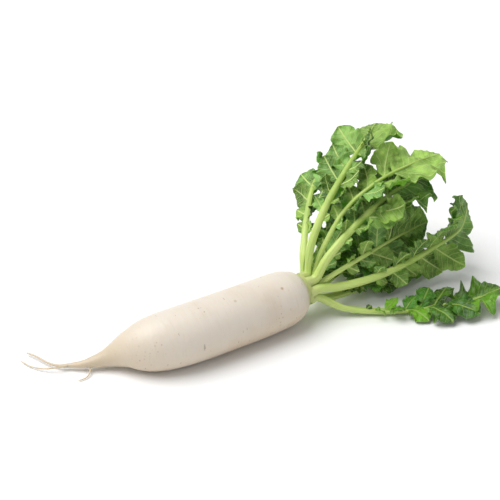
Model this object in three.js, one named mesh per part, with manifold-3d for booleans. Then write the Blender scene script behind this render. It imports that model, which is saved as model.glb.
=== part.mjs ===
// A daikon radish as picked, lying on its side: one long white root and the rosette of lobed
// leaves that grows from its crown. Millimetres. +X runs along the root from its tail to its
// leaves, +Z is up, and z = 0 is the surface that it lies on. The origin is the middle of the
// small flat on the belly of the root, where it rests.

import * as THREE from "three";
import { mergeVertices } from "three/addons/utils/BufferGeometryUtils.js";
import Module from "manifold-3d";

const wasm = await Module();
wasm.setup();

// Driving dimensions.
const ROOT_RADIUS = 31; // the body is 62 mm across at its thickest
const ROOT_SIDES = 20;
const BELLY_SINK = 0.6; // the body reaches this far below z = 0, where it is cut flat
const JOIN_GAP = 0.3; // a leaf base stands this far off the crown

const PETIOLE_WIDTH = 10; // an outer leaf stalk where it leaves the crown
const PETIOLE_DEPTH = 5.6;
const PETIOLE_SIDES = 6;
const PETIOLE_STEPS = 7;
const PETIOLE_THINNING = 0.84; // the share of its width that a rib loses over its whole length
const NECK = 11; // a stalk leaves the crown straight for this long
const NECK_SPREAD = 1.5; // and stands this much further out at the end of it
const TURN_END = 0.45; // the share of the rib over which a blade turns to its own side
const RIB_REACH = 0.04; // the share of its length that a rib runs on into the end lobe
const RIB_RIDGE = 2.2; // height of the rib below the end lobe, where it begins
const BLADE_THICKNESS = 0.8;
const END_TEETH = 4;
const END_FOLD = 0.1; // the end lobe folds along its rib by this share of what side lobes rise
const LOBE_CUP = 0.16; // how far a lobe's edges bend down, as a share of half its width
const SMALLEST_LOBE = 0.2; // the length of the first side lobe against the last

// From and to: each side lobe draws its own value in between.
const LOBE_STRAY = [-0.2, 0.2]; // from its even place, against the gap between two pairs
const LOBE_LENGTH = [0.82, 1.16]; // against the length that its place on the rib gives
const LOBE_HALF_WIDTH = [0.31, 0.37]; // against its length
const LOBE_SLANT = [44, 66]; // degrees between the rib and the lobe's vein
const LOBE_LIFT = [-15, 15]; // degrees more or less than the leaf's fold
const LOBE_TILT = [-6, 40]; // degrees that a lobe is tipped about its vein, like a blind's slat
const LOBE_TWIST = [-45, 45]; // degrees that it turns about its vein on the way to its tip
const LOBE_CURL = [-14, 42]; // degrees more or less than the leaf's curl
const FOLD_WAVE = 8; // degrees that the lobes rise and sink in turn along the rib

// Rings of the root from its crown to the end of its tail: x, y, z of the middle, and the
// radius as a share of ROOT_RADIUS. A null height rests that ring on the surface.
const ROOT_RINGS = [
  [109.5, 5.6, 33.2, 0.55],
  [105.5, 5.4, 32.9, 0.57],
  [102, 5.3, 32.6, 0.68],
  [96.5, 5, 32.2, 0.8],
  [88.5, 4.6, 31.4, 0.9],
  [75, 3.9, 30.6, 0.965],
  [52, 3, null, 0.99],
  [18, 1.6, null, 1],
  [-18, 1.2, null, 1],
  [-45, 2.6, null, 0.985],
  [-62, 5.6, 28.8, 0.95],
  [-74, 10, 26.8, 0.88],
  [-84, 15.5, 24, 0.76],
  [-93, 21.5, 20.4, 0.6],
  [-103, 27, 15.8, 0.42],
  [-113, 31.5, 12, 0.28],
  [-123, 35.4, 9.6, 0.2],
  [-133, 39.8, 7.4, 0.135],
  [-144, 47.5, 5.4, 0.085],
  [-153, 54, 4.4, 0.05],
  [-160, 64, 4.2, 0.036],
  [-166, 82, 4.6, 0.03],
  [-170, 93, 3.4, 0.026],
];

// Fine side roots, each as the points of its middle line from where it leaves the tail.
const ROOTLETS = [
  [[-143, 47, 5.4], [-156, 50, 6], [-168, 58, 4], [-177, 72, 2], [-181, 88, 1.6]],
  [[-128, 37, 8.4], [-131, 30, 4], [-138, 25, 1.8], [-148, 25, 1.4]],
];
const ROOTLET_RADIUS = 1; // at the tail, and half of that at its end
const ROOTLET_SIDES = 4;
const ROOTLET_STEPS = 4;

// Small helpers.
const vec = (x, y, z) => new THREE.Vector3(x, y, z);
const radians = THREE.MathUtils.degToRad;
const lerp = THREE.MathUtils.lerp;
const between = ([low, high], share) => lerp(low, high, share);
const smooth = (t) => t * t * (3 - 2 * t);

// A repeatable draw from 0 to 1 for one lobe of one leaf.
function draw(seed, index, side, channel) {
  const wave = Math.sin(seed * 12.9898 + index * 78.233 + side * 37.719 + channel * 11.13);
  const scaled = wave * 43758.5453;
  return scaled - Math.floor(scaled);
}

// Where corners meet in one point, as at the tip of a leaf, triangles with no area are left out.
function solidOf(geometry) {
  const bare = geometry.clone();
  bare.deleteAttribute("normal");
  bare.deleteAttribute("uv");
  const merged = mergeVertices(bare, 1e-4);
  const corners = merged.index.array;
  const kept = [];
  for (let i = 0; i < corners.length; i += 3) {
    const [a, b, c] = corners.slice(i, i + 3);
    if (a !== b && b !== c && c !== a) kept.push(a, b, c);
  }
  return new wasm.Manifold(
    new wasm.Mesh({
      numProp: 3,
      vertProperties: merged.attributes.position.array,
      triVerts: new Uint32Array(kept),
    }),
  );
}

function geometryOf(solid) {
  const mesh = solid.getMesh();
  const geometry = new THREE.BufferGeometry();
  geometry.setAttribute("position", new THREE.BufferAttribute(mesh.vertProperties, mesh.numProp));
  geometry.setIndex(new THREE.BufferAttribute(mesh.triVerts, 1));
  geometry.computeVertexNormals();
  return geometry;
}

// Bends a cylinder of unit height and radius into a tube: place(t, across, deep) gives the point
// at share t of the length, for a section point whose across and deep run from -1 to 1.
function tube(sides, steps, place) {
  const geometry = new THREE.CylinderGeometry(1, 1, 1, sides, steps);
  const position = geometry.attributes.position;
  for (let i = 0; i < position.count; i++) {
    const point = place(0.5 - position.getY(i), position.getX(i), position.getZ(i));
    position.setXYZ(i, point.x, point.y, point.z);
  }
  return solidOf(geometry);
}

// A thin closed sheet over a grid: at(v, h) gives { point, normal } for v from 0 to 1 along it
// and h from -1 to 1 across it, and may add a ridge, which is how much thicker it is below there.
// Both faces are split into the same triangles.
function sheet(rows, columns, at) {
  const wide = columns + 1;
  const layer = (rows + 1) * wide;
  const points = [];
  for (const face of [1, -1]) {
    for (let i = 0; i <= rows; i++) {
      for (let j = 0; j <= columns; j++) {
        const { point, normal, ridge = 0 } = at(i / rows, (2 * j) / columns - 1);
        const lift = face > 0 ? BLADE_THICKNESS / 2 : -BLADE_THICKNESS / 2 - ridge;
        points.push(...point.clone().addScaledVector(normal, lift).toArray());
      }
    }
  }
  const index = [];
  const face = (a, b, c) => index.push(a, b, c, a + layer, c + layer, b + layer);
  for (let i = 0; i < rows; i++) {
    for (let j = 0; j < columns; j++) {
      const a = i * wide + j;
      if (j < columns / 2) {
        face(a, a + 1, a + wide);
        face(a + 1, a + wide + 1, a + wide);
      } else {
        face(a, a + 1, a + wide + 1);
        face(a, a + wide + 1, a + wide);
      }
    }
  }
  const rim = [];
  for (let j = 0; j < columns; j++) rim.push(j);
  for (let i = 0; i < rows; i++) rim.push(i * wide + columns);
  for (let j = columns; j > 0; j--) rim.push(rows * wide + j);
  for (let i = rows; i > 0; i--) rim.push(i * wide);
  rim.forEach((p, k) => {
    const q = rim[(k + 1) % rim.length];
    index.push(p, p + layer, q + layer, p, q + layer, q);
  });
  const geometry = new THREE.BufferGeometry();
  geometry.setAttribute("position", new THREE.Float32BufferAttribute(points, 3));
  geometry.setIndex(index);
  return solidOf(geometry);
}

// The root.
function ringCentre([x, y, z, share]) {
  return vec(x, y, z ?? ROOT_RADIUS * share - BELLY_SINK);
}

function makeRoot() {
  const centres = ROOT_RINGS.map(ringCentre);
  const last = centres.length - 1;
  const root = tube(ROOT_SIDES, last, (t, across, deep) => {
    const ring = Math.round(t * last);
    const ahead = centres[Math.max(ring - 1, 0)];
    const behind = centres[Math.min(ring + 1, last)];
    const along = ring === 0 ? crown.axis.clone() : ahead.clone().sub(behind).normalize();
    const sideways = vec(0, 0, 1).cross(along).normalize();
    const upward = along.clone().cross(sideways);
    const radius = ROOT_RADIUS * ROOT_RINGS[ring][3];
    return centres[ring]
      .clone()
      .addScaledVector(sideways, radius * deep)
      .addScaledVector(upward, radius * across);
  });
  const whole = ROOTLETS.reduce((solid, points) => solid.add(makeRootlet(points)), root);
  const below = new THREE.BoxGeometry(600, 300, 40);
  below.translate(0, 0, -20);
  return whole.subtract(solidOf(below));
}

function makeRootlet(points) {
  const curve = new THREE.CatmullRomCurve3(points.map((p) => vec(...p)), false, "catmullrom", 0.5);
  return tube(ROOTLET_SIDES, ROOTLET_STEPS, (t, across, deep) => {
    const forward = curve.getTangentAt(t);
    const sideways = vec(0, 0, 1).cross(forward).normalize();
    const upward = forward.clone().cross(sideways);
    const radius = ROOTLET_RADIUS * (1 - 0.5 * t);
    return curve
      .getPointAt(t)
      .addScaledVector(sideways, radius * deep)
      .addScaledVector(upward, radius * across);
  });
}

// The leaves.
const crown = (() => {
  const centre = ringCentre(ROOT_RINGS[0]);
  const axis = centre.clone().sub(ringCentre(ROOT_RINGS[1])).normalize();
  const front = axis.clone().cross(vec(0, 0, 1)).normalize();
  const up = front.clone().cross(axis);
  return { centre, axis, front, up };
})();

// The middle line of a leaf and its frame: forward along the rib, normal out of the upper face
// of the blade, and across to the right of both.
function spine(leaf) {
  const angle = radians(leaf.clock);
  const outward = crown.up
    .clone()
    .multiplyScalar(Math.cos(angle))
    .addScaledVector(crown.front, Math.sin(angle));
  const base = crown.centre
    .clone()
    .addScaledVector(crown.axis, JOIN_GAP)
    .addScaledVector(outward, leaf.ring);
  const neck = base.clone().addScaledVector(crown.axis, NECK).addScaledVector(outward, NECK_SPREAD);
  const points = [base, neck, ...leaf.path.map((p) => vec(...p))];
  const curve = new THREE.CatmullRomCurve3(points, false, "catmullrom", 0.5);
  const inward = outward.clone().negate();
  const facing = vec(...leaf.facing).normalize();
  return (t) => {
    const point = curve.getPointAt(t);
    const forward = t === 0 ? crown.axis.clone() : curve.getTangentAt(t);
    const turned = inward.clone().lerp(facing, smooth(Math.min(1, t / TURN_END)));
    const normal = turned.addScaledVector(forward, -turned.dot(forward)).normalize();
    const across = forward.clone().cross(normal);
    return { point, forward, normal, across };
  };
}

// Half the width of a lobe along its vein, as a share of its widest, with its teeth. It is
// nothing at both ends, where the lobe springs from the rib and at its tip.
function lobeOutline(v, teeth) {
  return arch(v, 1.15) ** 0.7 * tooth(v * teeth, 0.15);
}

// Half the width of the end lobe: broader and rounder, with shallow bays and teeth.
function endOutline(v, teeth) {
  return arch(v, 1.05) ** 0.65 * tooth(v * teeth, 0.13);
}

// Half a wave from 0 through 1 to 0. A lean over 1 puts its top nearer the end.
function arch(v, lean) {
  return Math.max(0, Math.sin(Math.PI * v ** lean));
}

// A saw edge that is lowest at whole numbers and highest halfway between them.
function tooth(x, height) {
  const share = x - Math.floor(x);
  const rise = share < 0.5 ? share * 2 : 2 - share * 2;
  return 1 - height + 2 * height * rise;
}

// One side lobe: a small blade on a vein that leaves the rib, and bends back and twists as it
// goes.
function makeLobe(leaf, frame, index, side) {
  const pick = (channel) => draw(leaf.seed, index, side, channel);
  const along = (index + 0.4 + 0.2 * side + between(LOBE_STRAY, pick(10))) / leaf.pairs;
  const size = lerp(SMALLEST_LOBE, 1, along ** 0.7);
  const length = leaf.lobe * size * between(LOBE_LENGTH, pick(1));
  const half = length * between(LOBE_HALF_WIDTH, pick(2));
  const angle = radians(between(LOBE_SLANT, pick(3)));
  const wave = FOLD_WAVE * Math.sin(leaf.seed * 2.1 + index * 0.8 + side);
  const fold = radians(leaf.fold + wave + between(LOBE_LIFT, pick(4)));
  const tilt = radians(side * between(LOBE_TILT, pick(5)));
  const twist = radians(between(LOBE_TWIST, pick(11)));
  const curl = radians(Math.max(1, leaf.curl + between(LOBE_CURL, pick(6))));
  const teeth = size > 0.86 ? 3 : size > 0.5 ? 2 : 1;

  const { point, forward, normal, across } = frame(lerp(leaf.start, leaf.end, along));
  const out = across
    .clone()
    .multiplyScalar(side * Math.cos(fold))
    .addScaledVector(normal, Math.sin(fold));
  const vein = forward.clone().multiplyScalar(Math.cos(angle)).addScaledVector(out, Math.sin(angle));
  const face = normal
    .clone()
    .multiplyScalar(Math.cos(fold))
    .addScaledVector(across, -side * Math.sin(fold));
  const right = vein.clone().cross(face);
  face.applyAxisAngle(vein, tilt);
  right.applyAxisAngle(vein, tilt);

  return sheet(2 * teeth, 2, (v, h) => {
    const bend = curl * v;
    const reach = (length * Math.sin(bend)) / curl;
    const drop = (length * (1 - Math.cos(bend))) / curl;
    const bent = face.clone().multiplyScalar(Math.cos(bend)).addScaledVector(vein, Math.sin(bend));
    const turn = twist * v;
    const up = bent.clone().multiplyScalar(Math.cos(turn)).addScaledVector(right, -Math.sin(turn));
    const wide = right.clone().multiplyScalar(Math.cos(turn)).addScaledVector(bent, Math.sin(turn));
    const width = half * lobeOutline(v, teeth) * h;
    const cup = -LOBE_CUP * half * h * h * v;
    const at = point
      .clone()
      .addScaledVector(vein, reach)
      .addScaledVector(face, -drop)
      .addScaledVector(wide, width)
      .addScaledVector(up, cup);
    return { point: at, normal: up };
  });
}

// The end lobe rides on the rib itself, folded a little along it.
function makeEndLobe(leaf, frame) {
  const fold = radians(leaf.fold * END_FOLD);
  return sheet(2 * END_TEETH, 2, (v, h) => {
    const { point, normal, across } = frame(lerp(leaf.end, 1, v));
    const width = leaf.tip * endOutline(v, END_TEETH) * h;
    const ridge = h === 0 ? leaf.stalk * RIB_RIDGE * (1 - v) : 0;
    const at = point
      .addScaledVector(across, width * Math.cos(fold))
      .addScaledVector(normal, Math.abs(width) * Math.sin(fold));
    return { point: at, normal, ridge };
  });
}

function makeStalk(leaf, frame) {
  return tube(PETIOLE_SIDES, PETIOLE_STEPS, (share, across, deep) => {
    const t = share * (leaf.end + RIB_REACH);
    const at = frame(t);
    const taper = 1 - PETIOLE_THINNING * t ** 1.5;
    const width = (leaf.stalk * PETIOLE_WIDTH * taper) / 2;
    const depth = leaf.stalk * PETIOLE_DEPTH * taper;
    const hollow = 0.5 * Math.abs(deep) - 0.42 * deep ** 4;
    const lift = deep > 0 ? -depth * deep : depth * hollow;
    return at.point.addScaledVector(at.across, width * across).addScaledVector(at.normal, lift);
  });
}

function makeLeaf(leaf) {
  const frame = spine(leaf);
  let solid = makeStalk(leaf, frame).add(makeEndLobe(leaf, frame));
  for (let index = 0; index < leaf.pairs; index++) {
    for (const side of [-1, 1]) {
      solid = solid.add(makeLobe(leaf, frame, index, side));
    }
  }
  return solid;
}

// clock: where the leaf stands on the crown, in degrees from the top towards the front
// ring: how far from the middle of the crown, and stalk: its thickness against an outer stalk
// path: where its rib goes, and facing: which way the upper face of its blade looks
// start, end: the shares of the rib where the side lobes begin and the end lobe begins
// lobe, tip: length of the longest side lobe and half the width of the end lobe
// fold, curl: degrees that the lobes rise from the rib and then bend back
const OUTER = {
  ring: 12.5, stalk: 1, pairs: 5, start: 0.3, end: 0.73, lobe: 50, tip: 32, fold: 14, curl: 30,
};
const INNER = {
  ring: 6.2, stalk: 0.62, pairs: 4, start: 0.28, end: 0.7, lobe: 46, tip: 30, fold: 16, curl: 30,
};
const HEART = {
  ring: 1.9, stalk: 0.36, pairs: 3, start: 0.24, end: 0.64, lobe: 26, tip: 18, fold: 24, curl: 30,
};
const LEAVES = [
  {
    ...OUTER, name: "leaf_front_low", seed: 1, clock: 129, lobe: 40, tip: 25, fold: 38, curl: 16,
    path: [[143, -17, 13], [171, -33, 7], [198, -48, 6], [235, -63, 7], [269, -77, 11], [300, -84, 18]],
    facing: [0, 0.1, 1],
  },
  {
    ...OUTER, name: "leaf_front", seed: 16, clock: 78,
    path: [[146, -9, 32], [180, -18, 36], [215, -22, 42], [252, -21, 49], [293, -16, 58], [322, 8, 68]],
    facing: [0.3, 0.9, 0.1],
  },
  {
    ...OUTER, name: "leaf_front_top", seed: 17, clock: 28,
    path: [[134, 0, 65], [161, 0, 88], [198, 6, 105], [236, 13, 113], [272, 20, 111]],
    facing: [0.2, 0.3, -0.9],
  },
  {
    ...OUTER, name: "leaf_top", seed: 4, clock: -23,
    path: [[127, 18, 76], [152, 30, 108], [188, 48, 130], [228, 72, 142], [262, 100, 142]],
    facing: [0.6, 0.2, -0.75],
  },
  {
    ...OUTER, name: "leaf_back_top", seed: 159, clock: -74, pairs: 4,
    path: [[126, 30, 58], [146, 56, 81], [176, 88, 98], [214, 117, 105]],
    facing: [0.85, -0.1, -0.3],
  },
  {
    ...OUTER, name: "leaf_back_low", seed: 104, clock: -126, fold: 17,
    path: [[132, 28, 24], [170, 52, 16], [210, 78, 13.5], [244, 104, 13], [272, 132, 15]],
    facing: [-0.2, -0.3, 0.9],
  },
  {
    ...OUTER, name: "leaf_under", seed: 147, clock: 180, fold: 20, curl: 6,
    path: [[140, 6, 13], [174, 8, 9], [210, 13, 9], [246, 22, 11], [278, 34, 15]],
    facing: [-0.1, 0, 1],
  },
  {
    ...INNER, name: "leaf_inner_front", seed: 50, clock: 65, lobe: 42,
    path: [[146, -3, 47], [182, -4, 57], [220, -3, 65], [262, -1, 70]],
    facing: [0.1, 1, 0],
  },
  {
    ...INNER, name: "leaf_inner_top", seed: 149, clock: -7,
    path: [[138, 12, 72], [167, 15, 107], [206, 13, 130], [250, 14, 137], [290, 22, 133]],
    facing: [0.5, 0.1, -0.8],
  },
  {
    ...INNER, name: "leaf_inner_back", seed: 24, clock: -79, lobe: 44,
    path: [[138, 28, 50], [166, 50, 62], [198, 78, 69], [234, 103, 73]],
    facing: [-0.2, -0.8, 0.2],
  },
  {
    ...INNER, name: "leaf_inner_mid", seed: 11, clock: 137,
    path: [[144, 6, 34], [180, 12, 40], [218, 20, 46], [256, 30, 56]],
    facing: [0, -0.6, 0.6],
  },
  {
    ...INNER, name: "leaf_inner_low", seed: 12, clock: -151,
    path: [[138, 20, 30], [170, 35, 28], [206, 52, 31], [246, 72, 38]],
    facing: [-0.1, -0.3, 0.9],
  },
  {
    ...HEART, name: "leaf_heart_top", seed: 13, clock: 20,
    path: [[132, 12, 46], [150, 18, 60], [170, 26, 74]],
    facing: [0.5, 0.2, -0.8],
  },
  {
    ...HEART, name: "leaf_heart_low", seed: 14, clock: 200,
    path: [[134, 11, 38], [156, 17, 44.5], [178, 22, 56]],
    facing: [-0.3, 0.1, 0.9],
  },
];

// The whole radish.
const skin = new THREE.MeshStandardMaterial({ color: 0xeee7da, roughness: 0.42, metalness: 0 });
const green = new THREE.MeshStandardMaterial({ color: 0x6f9a3c, roughness: 0.55, metalness: 0 });

function named(name, solid, material) {
  const mesh = new THREE.Mesh(geometryOf(solid), material);
  mesh.name = name;
  return mesh;
}

const daikon = new THREE.Group();
daikon.add(named("root", makeRoot(), skin));
for (const leaf of LEAVES) daikon.add(named(leaf.name, makeLeaf(leaf), green));

export default daikon;
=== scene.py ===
# %% [markdown]
# A daikon is one long white root with a rosette of leaves on its crown. The imported part says
# where everything is: here each of its solids gets a finer piece in the same place, and a finish.
# The part is loaded first, and each solid's placement is baked into its points.

# %% Load the imported part
import math

import bpy
import numpy as np
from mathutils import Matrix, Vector


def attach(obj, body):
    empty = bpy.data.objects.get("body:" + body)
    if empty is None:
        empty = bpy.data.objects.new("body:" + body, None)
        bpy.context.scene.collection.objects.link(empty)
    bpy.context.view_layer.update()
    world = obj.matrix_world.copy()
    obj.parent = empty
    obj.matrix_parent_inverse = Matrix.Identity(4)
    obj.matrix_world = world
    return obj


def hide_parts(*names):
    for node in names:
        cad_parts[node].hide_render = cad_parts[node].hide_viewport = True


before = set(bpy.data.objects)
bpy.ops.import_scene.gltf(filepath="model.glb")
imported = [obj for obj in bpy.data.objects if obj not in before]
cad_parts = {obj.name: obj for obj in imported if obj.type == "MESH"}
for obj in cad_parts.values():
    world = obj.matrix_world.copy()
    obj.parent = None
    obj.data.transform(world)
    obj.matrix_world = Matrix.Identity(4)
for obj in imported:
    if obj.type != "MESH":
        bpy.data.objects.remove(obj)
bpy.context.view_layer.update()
print("solids:", len(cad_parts))

# %% [markdown]
# The photo looks down on the radish from the front left, from far away, so a long lens on a
# distant camera is used. The camera is aimed at a point and set back along the line of sight.

# %% Camera
MM = 0.001
AZIMUTH = math.radians(-32)
ELEVATION = math.radians(32)
AIM = Vector((72, 51.5, 69)) * MM
VIEW_WIDTH = 520 * MM
LENS = 150
SENSOR = 36


def place_camera():
    towards_camera = Vector((
        math.sin(AZIMUTH) * math.cos(ELEVATION),
        -math.cos(AZIMUTH) * math.cos(ELEVATION),
        math.sin(ELEVATION),
    ))
    data = bpy.data.cameras.new("camera")
    data.lens = LENS
    data.sensor_width = SENSOR
    camera = bpy.data.objects.new("camera", data)
    bpy.context.scene.collection.objects.link(camera)
    camera.location = AIM + towards_camera * (VIEW_WIDTH * LENS / SENSOR)
    camera.rotation_euler = (-towards_camera).to_track_quat("-Z", "Y").to_euler()
    bpy.context.scene.camera = camera
    return camera


camera = place_camera()
print("camera stands", round((camera.location - AIM).length, 3), "m from what it looks at")

# %% [markdown]
# A white sky gives the even light of a studio tent. One wide sun high up, from the left and a
# little from behind, lights the top of everything and leaves the inside of the foliage dark. A
# sun is used and not a lamp, because its light doesn't fade over the white floor, which is meant
# to have no edge.

# %% Floor and lights
FLOOR_SIZE = 120.0
PAPER_WHITE = (0.93, 0.93, 0.93, 1)
PAPER_ROUGHNESS = 0.9
SUN_STRENGTH = 2.85
SUN_WIDTH = math.radians(55)
SUN_TILT = (math.radians(-14), math.radians(-24), 0)
SKY_STRENGTH = 0.42
SKY_WHITE = (1, 1, 1, 1)


def add_floor():
    bpy.ops.mesh.primitive_plane_add(size=FLOOR_SIZE)
    floor = bpy.context.object
    floor.name = "floor"
    paper = bpy.data.materials.new("white_paper")
    paper.use_nodes = True
    shader = paper.node_tree.nodes["Principled BSDF"]
    shader.inputs["Base Color"].default_value = PAPER_WHITE
    shader.inputs["Roughness"].default_value = PAPER_ROUGHNESS
    floor.data.materials.append(paper)


def add_sun():
    data = bpy.data.lights.new("sun", "SUN")
    data.energy = SUN_STRENGTH
    data.angle = SUN_WIDTH
    lamp = bpy.data.objects.new("sun", data)
    bpy.context.scene.collection.objects.link(lamp)
    lamp.rotation_euler = SUN_TILT


def add_sky():
    world = bpy.data.worlds.new("studio_tent")
    world.use_nodes = True
    sky = world.node_tree.nodes["Background"].inputs
    sky["Color"].default_value = SKY_WHITE
    sky["Strength"].default_value = SKY_STRENGTH
    bpy.context.scene.world = world


add_floor()
add_sun()
add_sky()
bpy.context.scene.view_settings.view_transform = "Standard"
print("sun", SUN_STRENGTH, "sky", SKY_STRENGTH)

# %% [markdown]
# The root, its threads and every leaf rib follow a smooth line through a few chosen points. A
# Catmull-Rom line passes through its points, so a maker can place them by eye. Walking it by
# length keeps the rings and the leaf rows evenly spaced. These rules match the solids' own.

# %% Smooth lines
SPAN_STEPS = 60


def smooth(t):
    return t * t * (3 - 2 * t)


def lerp(low, high, share):
    return low + (high - low) * share


def unit(v):
    return v / np.maximum(np.linalg.norm(v, axis=-1, keepdims=True), 1e-12)


def set_off(middle, first, x, second, y):
    """Grid points: each middle, moved by x in one direction and by y in another."""
    return middle[:, None] + first[:, None] * x[..., None] + second[:, None] * y[..., None]


def catmull_rom(points):
    """Points along the smooth line through the given ones, close together."""
    p = np.array(points, float)
    p = np.vstack([2 * p[0] - p[1], p, 2 * p[-1] - p[-2]])
    t = np.linspace(0, 1, SPAN_STEPS, endpoint=False)[:, None]
    spans = []
    for a, b, c, d in zip(p, p[1:], p[2:], p[3:]):
        leave, arrive = (c - a) / 2, (d - b) / 2
        spans.append(
            b + leave * t
            + (3 * (c - b) - 2 * leave - arrive) * t**2
            + (2 * (b - c) + leave + arrive) * t**3
        )
    return np.vstack([*spans, p[-2:-1]])


class Route:
    """A smooth line, walked by its share of the length from 0 to 1."""

    def __init__(self, points):
        self.line = catmull_rom(points)
        steps = np.linalg.norm(np.diff(self.line, axis=0), axis=1)
        self.length = steps.sum()
        self.share = np.concatenate([[0], np.cumsum(steps)]) / self.length

    def at(self, t):
        return np.stack([np.interp(t, self.share, self.line[:, k]) for k in range(3)], -1)

    def forward(self, t, reach=0.004):
        return unit(self.at(np.minimum(t + reach, 1)) - self.at(np.maximum(t - reach, 0)))


print("test line is", round(Route([(0, 0, 0), (1, 0, 0), (2, 0, 0)]).length, 3), "long")

# %% [markdown]
# Nature varies, but a kept model has to come out the same each time. So every random choice is a
# draw worked out from the leaf's seed, the lobe's place and a channel, as in the solids. The odd
# factors in it only keep neighbouring draws apart.


# %% Repeatable draws
def draw(seed, index, side, channel):
    wave = math.sin(seed * 12.9898 + index * 78.233 + side * 37.719 + channel * 11.13)
    return (wave * 43758.5453) % 1


def ripple(x, seed, waves):
    """A sum of slow waves from -1 to 1, different for each seed."""
    total = sum(np.sin(x * k * math.tau + draw(seed, k, 0, 40) * math.tau) / k for k in waves)
    return total / sum(1 / k for k in waves)


print("a draw:", round(draw(1, 0, 1, 1), 4))

# %% [markdown]
# The root and the stalks are tubes, and the blades are thin sheets. Both are grids of points, so
# one small builder collects grids, closes them and keeps what the materials need: which faces are
# upper side or under side, a flat map for the veins, and a tone for each lobe. One unit of the
# flat map is ten centimetres. The grids are in millimetres, and the finished mesh in metres.


# %% Grid builder
MAP_UNIT = 100
SHARP_ANGLE = math.radians(55)
NO_CORNER = -1


class Patchwork:
    def __init__(self):
        self.points = []
        self.quads = []
        self.finishes = []
        self.map = []
        self.tones = []
        self.count = 0

    def add(self, grid, flat, tone):
        """Adds a rows x columns grid of points with its flat map, and gives its indices."""
        rows, columns = grid.shape[:2]
        self.points.append(grid.reshape(-1, 3))
        self.map.append(flat.reshape(-1, 2))
        self.tones.append(np.full(rows * columns, tone))
        indices = self.count + np.arange(rows * columns).reshape(rows, columns)
        self.count += rows * columns
        return indices

    def fill(self, a, b, c, d, finish):
        quads = np.stack([a.ravel(), b.ravel(), c.ravel(), d.ravel()], -1)
        self.quads.append(quads)
        self.finishes.append(np.full(len(quads), finish))

    def sheet(self, grid, normal, thickness, flat, tone, upper, under):
        """A thin closed sheet. The normal points out of its upper side."""
        top = self.add(grid + normal * thickness / 2, flat, tone)
        low = self.add(grid - normal * thickness / 2, flat, tone)
        self.fill(top[:-1, :-1], top[:-1, 1:], top[1:, 1:], top[1:, :-1], upper)
        self.fill(low[:-1, :-1], low[1:, :-1], low[1:, 1:], low[:-1, 1:], under)
        rims = [
            (top[0, :], low[0, :]),
            (top[:, -1], low[:, -1]),
            (top[-1, ::-1], low[-1, ::-1]),
            (top[::-1, 0], low[::-1, 0]),
        ]
        for edge, below in rims:
            self.fill(edge[1:], edge[:-1], below[:-1], below[1:], under)

    def tube(self, rings, flat, tone, finish):
        """A closed tube of rings whose points run round the line, with a flat cap at each end."""
        ring = self.add(rings, flat, tone)
        after = np.roll(ring, -1, axis=1)
        self.fill(ring[:-1], ring[1:], after[1:], after[:-1], finish)
        for end, turn in ((0, 1), (-1, -1)):
            middle = self.add(rings[end].mean(0)[None, None], flat[end].mean(0)[None, None], tone)
            cap = np.stack([ring[end][::turn], np.roll(ring[end][::turn], -1)], -1)
            self.caps(cap, middle[0, 0], finish)

    def caps(self, edges, middle, finish):
        middles, none = np.full(len(edges), middle), np.full(len(edges), NO_CORNER)
        corners = np.column_stack([edges, middles, none])
        self.quads.append(corners)
        self.finishes.append(np.full(len(corners), finish))

    def to_object(self, name, materials):
        quads = np.vstack(self.quads)
        faces = [[int(i) for i in quad if i != NO_CORNER] for quad in quads]
        mesh = bpy.data.meshes.new(name)
        mesh.from_pydata(np.vstack(self.points) * MM, [], faces)
        finishes = np.concatenate(self.finishes).astype(np.int32)
        mesh.polygons.foreach_set("material_index", finishes)
        flat = np.vstack(self.map)
        corners = np.zeros(len(mesh.loops), np.int32)
        mesh.loops.foreach_get("vertex_index", corners)
        uv = mesh.uv_layers.new(name="flat_map")
        uv.data.foreach_set("uv", flat[corners].astype(np.float32).ravel())
        tone = mesh.attributes.new("tone", "FLOAT", "POINT")
        tone.data.foreach_set("value", np.concatenate(self.tones).astype(np.float32))
        for material in materials:
            mesh.materials.append(material)
        mesh.polygons.foreach_set("use_smooth", np.ones(len(mesh.polygons), bool))
        mesh.set_sharp_from_angle(angle=SHARP_ANGLE)
        mesh.validate()
        piece = bpy.data.objects.new(name, mesh)
        bpy.context.scene.collection.objects.link(piece)
        return piece


print("grid builder ready")

# %% [markdown]
# A finish is a net of shader nodes. Wiring them one by one is long, so a small helper adds a node,
# sets its plain values and links what comes from another node. It wires the Geometry Nodes trees
# further down too. The helpers after it are short names for steps that come back often.


# %% Node helper
def wire(tree, kind, inputs=None, **settings):
    """Adds a node. An input that is a socket gets linked, and any other value is set."""
    made = tree.nodes.new(kind)
    for key, value in settings.items():
        setattr(made, key, value)
    for key, value in (inputs or {}).items():
        if isinstance(value, bpy.types.NodeSocket):
            tree.links.new(value, made.inputs[key])
        else:
            made.inputs[key].default_value = value
    return made


def maths(tree, operation, a, b=0.0):
    return wire(tree, "ShaderNodeMath", {0: a, 1: b}, operation=operation).outputs[0]


def times(tree, a, b):
    return maths(tree, "MULTIPLY", a, b)


def plus(tree, a, b):
    return maths(tree, "ADD", a, b)


def clamped(tree, value):
    return wire(tree, "ShaderNodeClamp", {0: value}).outputs[0]


def object_place(tree):
    return wire(tree, "ShaderNodeTexCoord").outputs["Object"]


def flat_map(tree):
    """The flat map as a vector, and its numbers apart."""
    flat = wire(tree, "ShaderNodeUVMap", uv_map="flat_map").outputs[0]
    return flat, wire(tree, "ShaderNodeSeparateXYZ", {"Vector": flat}).outputs


def between(tree, value, low, high, to_low=0.0, to_high=1.0):
    """How far a value has gone from low to high, eased and clamped."""
    inputs = {"Value": value, "From Min": low, "From Max": high}
    inputs.update({"To Min": to_low, "To Max": to_high})
    eased = wire(tree, "ShaderNodeMapRange", inputs, interpolation_type="SMOOTHSTEP")
    return eased.outputs["Result"]


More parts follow.
